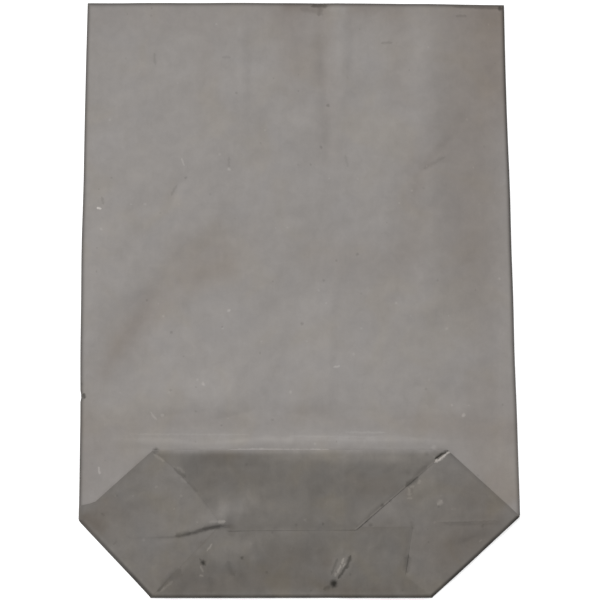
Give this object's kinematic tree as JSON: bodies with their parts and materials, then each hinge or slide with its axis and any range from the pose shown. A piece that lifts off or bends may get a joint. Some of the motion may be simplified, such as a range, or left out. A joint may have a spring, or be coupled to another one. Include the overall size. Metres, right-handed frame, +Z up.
{
  "type": "cross-bottom paper bag",
  "caption": "Flat grey-brown kraft paper bag with an open mouth and a folded, glued hexagonal cross bottom turned up over its front.",
  "frame": {"origin": "centre of the flat bag's outline, on the plane that its back panel lies on", "axes": "+Y from the folded bottom to the mouth, +Z up through the layers to the folded bottom's face, +X across the bag"},
  "size_m": [0.2, 0.28, 0.0029],
  "materials": {
    "kraft_paper": "matt recycled kraft paper, grey-brown, creased and darker on the handled bottom"
  },
  "bodies": {
    "root": {"paper_bag": "kraft_paper"}
  },
  "joints": []
}
